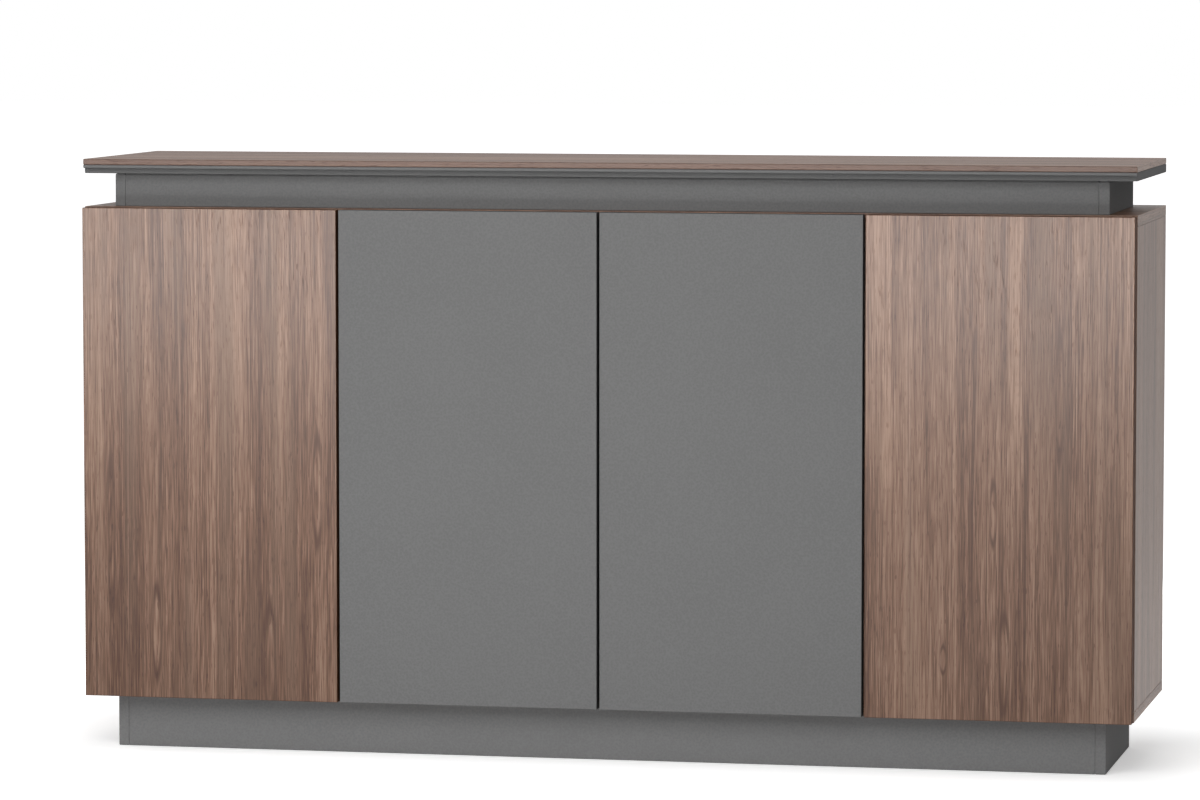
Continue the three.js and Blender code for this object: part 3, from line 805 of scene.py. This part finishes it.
def add_screw(bm, placing, radius=SCREW_RADIUS, height=SCREW_HEIGHT):
    """A low rounded head with a cross recess."""
    base = bmesh.ops.create_circle(bm, cap_ends=True, segments=SCREW_SIDES, radius=radius)["verts"]
    made = list(base)
    ring = list({edge for vert in base for edge in vert.link_edges})
    for share, rise in SCREW_RINGS:
        grown = bmesh.ops.extrude_edge_only(bm, edges=ring)["geom"]
        verts = [part for part in grown if isinstance(part, bmesh.types.BMVert)]
        ring = [
            part for part in grown
            if isinstance(part, bmesh.types.BMEdge) and all(vert in verts for vert in part.verts)
        ]
        for vert in verts:
            reach = Vector((vert.co.x, vert.co.y, 0)).normalized() * radius * share
            vert.co = (reach.x, reach.y, height * rise)
        made += verts
    long, short = radius * CROSS_LENGTH, radius * CROSS_WIDTH
    quarter = [(short, long), (short, short), (long, short)]
    corners = []
    for turn in range(4):
        spun = Matrix.Rotation(-turn * RIGHT_ANGLE, 2)
        corners += [spun @ Vector(corner) for corner in quarter]
    rim = [bm.verts.new((corner.x, corner.y, height)) for corner in corners]
    cross = [bm.edges.new(pair) for pair in zip(rim, rim[1:] + rim[:1])]
    bmesh.ops.bridge_loops(bm, edges=ring + cross)
    sunk = bmesh.ops.extrude_edge_only(bm, edges=cross)["geom"]
    floor = [part for part in sunk if isinstance(part, bmesh.types.BMVert)]
    bmesh.ops.translate(bm, verts=floor, vec=(0, 0, -CROSS_DEPTH))
    floor_edges = [
        part for part in sunk
        if isinstance(part, bmesh.types.BMEdge) and all(vert in floor for vert in part.verts)
    ]
    bmesh.ops.contextual_create(bm, geom=floor_edges)
    made += rim + floor
    faces = list({face for vert in made for face in vert.link_faces})
    bmesh.ops.recalc_face_normals(bm, faces=faces)
    bmesh.ops.transform(bm, matrix=placing, verts=made)


def add_link_pin(bm, middle, half_length):
    made = bmesh.ops.create_cone(
        bm, cap_ends=True, segments=LINK_PIN_SIDES, radius1=LINK_PIN_RADIUS, radius2=LINK_PIN_RADIUS,
        depth=2 * half_length,
    )["verts"]
    bmesh.ops.translate(bm, verts=made, vec=middle)


def sharp_edges(bm, turn):
    return [edge for edge in bm.edges if abs(edge.calc_face_angle_signed(0)) > turn]


def add_link(bm, start, end, low, high):
    """A flat link with round ends between two pins, which the caller then cuts across."""
    made = bmesh.ops.create_cube(bm, size=1.0)["verts"]
    reach = abs(end.x - start.x) + 2 * LINK_HALF_HEIGHT
    bmesh.ops.scale(bm, verts=made, vec=(reach, 2 * LINK_HALF_HEIGHT, high - low))
    middle = (start + end) / 2
    bmesh.ops.translate(bm, verts=made, vec=(middle.x, middle.y, (low + high) / 2))
    edges = {edge for vert in made for edge in vert.link_edges}
    corners = [edge for edge in edges if abs(edge.verts[0].co.z - edge.verts[1].co.z) > WELD]
    ease_edges(bm, corners, LINK_END_ROUNDING, LINK_END_SEGMENTS)


hinge_steel = make_steel("hinge_steel", smear=0.012, roughness=0.24)
joint_place = {joint["name"]: Vector(joint["pos_m"]) for joint in frame["joints"] if "pos_m" in joint}
for door in DOORS:
    axis = joint_place[f"{door}_hinge"]
    inward = 1 if door.startswith("left") else -1
    leaf = f"{door}_leaf"
    door_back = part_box(f"{door}_door")[1].y
    for level in ("upper", "lower"):
        hinge = f"{door}_{level}_hinge"
        arm_low, arm_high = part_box(f"{hinge}_arm")
        cup_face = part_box(f"{hinge}_cup")[1].y
        z = (arm_low.z + arm_high.z) / 2

        cup = open_copy(f"{hinge}_cup")
        ease_edges(cup, sharp_edges(cup, SHARP_TURN), PRESSED_EASE)
        flange_x = axis.x + inward * (CUP_FROM_AXIS + FLANGE_FROM_CUP)
        for side in (-1, 1):
            seat = (flange_x, cup_face, z + side * FLANGE_SCREW_REACH)
            add_screw(cup, lie_on(seat, (0, 1, 0)))
        pin_y = door_back - LINK_DEPTH
        reach = ARM_HALF_WIDTH + LINK_GAP + LINK_THICKNESS
        cup_pin_x = axis.x + inward * CUP_PIN_FROM_AXIS
        add_link_pin(cup, (cup_pin_x, pin_y, z), reach)
        piece = make_object(f"{hinge}_cup_pressed", cup, [hinge_steel], ROUND_TURN)
        fit(piece, leaf, [f"{hinge}_cup"])

        arm = open_copy(f"{hinge}_arm")
        ease_edges(arm, sharp_edges(arm, FOLD_TURN), FOLDED_EASE, FOLDED_SEGMENTS)
        board_face = arm_low.x if inward > 0 else arm_high.x
        plate_front = arm_high.y - PLATE_LENGTH
        plate_top = board_face + inward * PLATE_THICKNESS
        arm_top = board_face + inward * ARM_HEIGHT
        for side in (-1, 1):
            seat = (plate_top, plate_front + PLATE_LENGTH / 2, z + side * PLATE_SCREW_REACH)
            add_screw(arm, lie_on(seat, (inward, 0, 0)), PLATE_SCREW_RADIUS)
        for share in ARM_SCREW_SHARES:
            seat = (arm_top, plate_front + share * PLATE_LENGTH, z)
            add_screw(arm, lie_on(seat, (inward, 0, 0)), ARM_SCREW_RADIUS, ARM_SCREW_HEIGHT)
        nose_pin_x = axis.x + inward * NOSE_PIN_FROM_AXIS
        add_link_pin(arm, (nose_pin_x, pin_y, z), reach)
        piece = make_object(f"{hinge}_arm_pressed", arm, [hinge_steel], ROUND_TURN)
        fit(piece, "carcass", [f"{hinge}_arm"])

        links = bmesh.new()
        start, end = Vector((nose_pin_x, pin_y, z)), Vector((cup_pin_x, pin_y, z))
        for side in (-1, 1):
            inner = z + side * (ARM_HALF_WIDTH + LINK_GAP)
            outer = inner + side * LINK_THICKNESS
            add_link(links, start, end, min(inner, outer), max(inner, outer))
        for station in range(1, LINK_STATIONS):
            cut = start.lerp(end, station / LINK_STATIONS)
            geom = links.verts[:] + links.edges[:] + links.faces[:]
            bmesh.ops.bisect_plane(links, geom=geom, dist=WELD, plane_co=cut, plane_no=(1, 0, 0))
        piece = make_object(f"{hinge}_links", links, [hinge_steel], ROUND_TURN)
        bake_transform(piece)


# Push latches: a moulded grey housing screwed under the top board at each door's free edge.
# A sprung plunger with a rubber tip pushes the door out when it is pressed and let go.
LATCH_TONE = (0.235, 0.240, 0.245, 1.0)
LATCH_TONE_DEEP = (0.205, 0.210, 0.215, 1.0)
TIP_TONE = (0.018, 0.018, 0.019, 1.0)
TIP_TONE_WORN = (0.032, 0.032, 0.033, 1.0)
LATCH_EASE = 0.0007
LATCH_SCREW_REACH = 0.0134
LATCH_SCREW_RADIUS = 0.0034
LATCH_FOOT_THICKNESS = 0.003
LATCH_PRESS_DEPTH = 0.00008
LATCH_PEARL_SIZE = 0.0018
PLUNGER_RIM_EASE = 0.0003
PLUNGER_END_EASE = 0.0005
TIP_LENGTH = 0.0026
TIP_INSET = 0.0001
# The tip's rounded edge runs through two corners, this far in from its side and its end
TIP_ROUND, TIP_ROUND_MIDDLE = 0.00126, 0.00036


def make_moulding(name, light, deep, roughness):
    material, tree, shader = new_material(name, roughness=roughness, specular=0.45)
    press = place_group(tree, pearl, Place=object_place(tree), Size=LATCH_PEARL_SIZE)
    feed(tree, shader["Base Color"], mix_colours(tree, press["Cloud"], deep, light))
    feed(tree, shader["Normal"], bump(tree, press["Pebble"], LATCH_PRESS_DEPTH, MOULDED_STRENGTH))
    return material


latch_plastic = make_moulding("latch_plastic", LATCH_TONE, LATCH_TONE_DEEP, 0.46)
tip_rubber = make_moulding("tip_rubber", TIP_TONE_WORN, TIP_TONE, 0.75)
for door in DOORS:
    node = f"{door}_latch_housing"
    low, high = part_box(node)
    middle = (low + high) / 2
    housing = open_copy(node)
    rim = [edge for edge in sharp_edges(housing, SHARP_TURN) if edge.calc_length() > LEAST_RIM]
    ease_edges(housing, rim, LATCH_EASE)
    for face in housing.faces:
        face.material_index = 0
    marked = len(housing.faces)
    for side in (-1, 1):
        seat = (middle.x + side * LATCH_SCREW_REACH, middle.y, high.z - LATCH_FOOT_THICKNESS)
        add_screw(housing, lie_on(seat, (0, 0, -1)), LATCH_SCREW_RADIUS)
    housing.faces.ensure_lookup_table()
    for face in housing.faces[marked:]:
        face.material_index = 1
    piece = make_object(f"{node}_moulded", housing, [latch_plastic, hinge_steel], ROUND_TURN)
    fit(piece, "carcass", [node])

    node = f"{door}_latch_plunger"
    low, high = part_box(node)
    radius = (high.z - low.z) / 2
    tip = Vector(((low.x + high.x) / 2, low.y, (low.z + high.z) / 2))
    length = high.y - low.y
    plunger = bmesh.new()
    profile = [
        (0, TIP_LENGTH),
        (radius - PLUNGER_RIM_EASE, TIP_LENGTH),
        (radius, TIP_LENGTH + PLUNGER_RIM_EASE),
        (radius, length - PLUNGER_END_EASE),
        (radius - PLUNGER_END_EASE, length),
        (0, length),
    ]
    spin_profile(plunger, profile, tip, (0, 1, 0))
    piece = make_object(f"{node}_moulded", plunger, [latch_plastic], ROUND_TURN)
    fit(piece, f"{door}_plunger", [node])
    cap = bmesh.new()
    profile = [
        (0, 0),
        (radius - TIP_ROUND, 0),
        (radius - TIP_ROUND_MIDDLE, TIP_ROUND_MIDDLE),
        (radius - TIP_INSET, TIP_ROUND),
        (radius - TIP_INSET, TIP_LENGTH),
        (0, TIP_LENGTH),
    ]
    spin_profile(cap, profile, tip, (0, 1, 0))
    fit(make_object(f"{door}_latch_tip", cap, [tip_rubber], ROUND_TURN), f"{door}_plunger")


# Studio: a wide pale floor, a white surround and eight soft panels. The long strip in front only
# shines on the object, and the fill and the low card below it only light it. The camera stands
# where the photograph was taken from, a little to the right and above.
FLOOR_REACH = 40.0
FLOOR_DROP = 0.0004
FLOOR_TONE = (0.90, 0.90, 0.90, 1.0)
# The floor is lifted to white for the eye, less so near the object, where its shadow lies.
# What shines shows the floor in front with little lift, since it is lit nearly white by itself.
FLOOR_LIFT_NEAR = 0.38
FLOOR_LIFT_FAR = 0.95
SHINY_LIFT_FRONT = 0.12
SHINY_LIFT_REST = 0.75
LIFT_PER_METRE = 1.35
FRONT_ENDS, BACK_STARTS = -0.8, 0.4
FAR_STARTS, FAR_ENDS = 2.0, 5.0
FOOTPRINT = (0.80, 0.20, 1.0)
AMBIENT = 0.22
# Each panel's name, width and height, place, aim and power
PANELS = (
    ("front_sheen", (2.9, 0.46), (-0.42, -2.0, 0.72), (-0.42, 0.0, 0.70), 42.0),
    ("front_fill", (2.9, 0.60), (-0.30, -2.2, 1.15), (-0.30, 0.0, 0.60), 17.0),
    ("floor_card", (2.9, 0.20), (-0.30, -1.6, 0.14), (-0.30, 0.0, 0.10), 7.0),
    ("front_panel", (3.2, 1.0), (-0.5, -2.4, 2.3), (0.0, -0.2, 0.5), 36.0),
    ("top_panel", (3.0, 2.0), (0.6, -0.2, 2.9), (0.0, 0.0, 0.5), 9.0),
    ("back_panel", (2.2, 0.7), (-0.4, 2.4, 0.45), (-0.2, 0.2, 0.45), 34.0),
    ("left_panel", (1.8, 1.0), (-2.8, -0.3, 2.1), (-0.8, 0.0, 0.5), 13.0),
    ("right_panel", (1.8, 1.0), (2.8, 0.1, 2.4), (0.8, 0.0, 0.5), 8.0),
)
SHINES_ONLY = ("front_sheen",)
LIGHTS_ONLY = ("front_fill", "floor_card")
CAMERA_PLACE = (1.70372, -8.16905, 1.17763)
CAMERA_YAW = 0.21024
CAMERA_PITCH = 0.07755
LENS = 164.858
SENSOR = 36.0
CLIP_END = 200.0


def seen_rays(tree):
    """1 for what the camera sees straight on, and 1 for what shows in shiny faces."""
    path = tree.nodes.new("ShaderNodeLightPath").outputs
    shiny = calculate(tree, "MAXIMUM", path["Is Glossy Ray"], path["Is Transmission Ray"])
    return path["Is Camera Ray"], shiny


def make_floor():
    bm = bmesh.new()
    bmesh.ops.create_grid(bm, x_segments=1, y_segments=1, size=FLOOR_REACH)
    bmesh.ops.translate(bm, verts=bm.verts, vec=(0, 0, -FLOOR_DROP))
    material, tree, shader = new_material("pale_floor", roughness=1.0, specular=0.0)
    shader["Base Color"].default_value = FLOOR_TONE
    shader["Emission Color"].default_value = (1, 1, 1, 1)
    outside = combine_vectors(tree, "ABSOLUTE", object_place(tree))
    outside = combine_vectors(tree, "SUBTRACT", outside, FOOTPRINT)
    outside = combine_vectors(tree, "MAXIMUM", outside, (0, 0, 0))
    away = combine_vectors(tree, "LENGTH", outside).node.outputs["Value"]
    lift = calculate(tree, "MULTIPLY_ADD", away, LIFT_PER_METRE, FLOOR_LIFT_NEAR)
    lift = calculate(tree, "MINIMUM", lift, FLOOR_LIFT_FAR)
    direct, shiny = seen_rays(tree)
    lift = calculate(tree, "MULTIPLY", direct, lift)
    parts = tree.nodes.new("ShaderNodeSeparateXYZ")
    feed(tree, parts.inputs["Vector"], object_place(tree))
    behind = ease_between(tree, parts.outputs["Y"], FRONT_ENDS, BACK_STARTS)
    far = ease_between(tree, away, FAR_STARTS, FAR_ENDS)
    rest = calculate(tree, "MAXIMUM", behind, far)
    shiny_lift = ease_between(tree, rest, 0.0, 1.0, SHINY_LIFT_FRONT, SHINY_LIFT_REST)
    feed(tree, shader["Emission Strength"], calculate(tree, "MULTIPLY_ADD", shiny, shiny_lift, lift))
    floor = make_object("floor", bm, [material])
    floor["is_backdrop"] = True


make_floor()
scene = bpy.context.scene
world = bpy.data.worlds.new("studio")
scene.world = world
world.use_nodes = True
world_tree = world.node_tree
backdrop = world_tree.nodes["Background"]
backdrop.inputs["Color"].default_value = (1, 1, 1, 1)
seen = calculate(world_tree, "MAXIMUM", *seen_rays(world_tree))
level = calculate(world_tree, "MULTIPLY_ADD", seen, 1 - AMBIENT, AMBIENT)
feed(world_tree, backdrop.inputs["Strength"], level)

for name, size, place, aim, power in PANELS:
    light = bpy.data.lights.new(name, "AREA")
    light.shape = "RECTANGLE"
    light.size, light.size_y = size
    light.energy = power
    panel = bpy.data.objects.new(name, light)
    panel.location = place
    panel.rotation_euler = (Vector(aim) - Vector(place)).to_track_quat("-Z", "Y").to_euler()
    panel.visible_camera = False
    panel.visible_diffuse = name not in SHINES_ONLY
    panel.visible_glossy = name not in LIGHTS_ONLY
    scene.collection.objects.link(panel)

camera_data = bpy.data.cameras.new("camera")
camera_data.sensor_width = SENSOR
camera_data.lens = LENS
camera_data.clip_end = CLIP_END
camera = bpy.data.objects.new("camera", camera_data)
camera.location = CAMERA_PLACE
camera.rotation_euler = (RIGHT_ANGLE - CAMERA_PITCH, 0, CAMERA_YAW)
scene.collection.objects.link(camera)
scene.camera = camera
scene.view_settings.view_transform = "Standard"

# The dressed object's box
low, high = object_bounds()
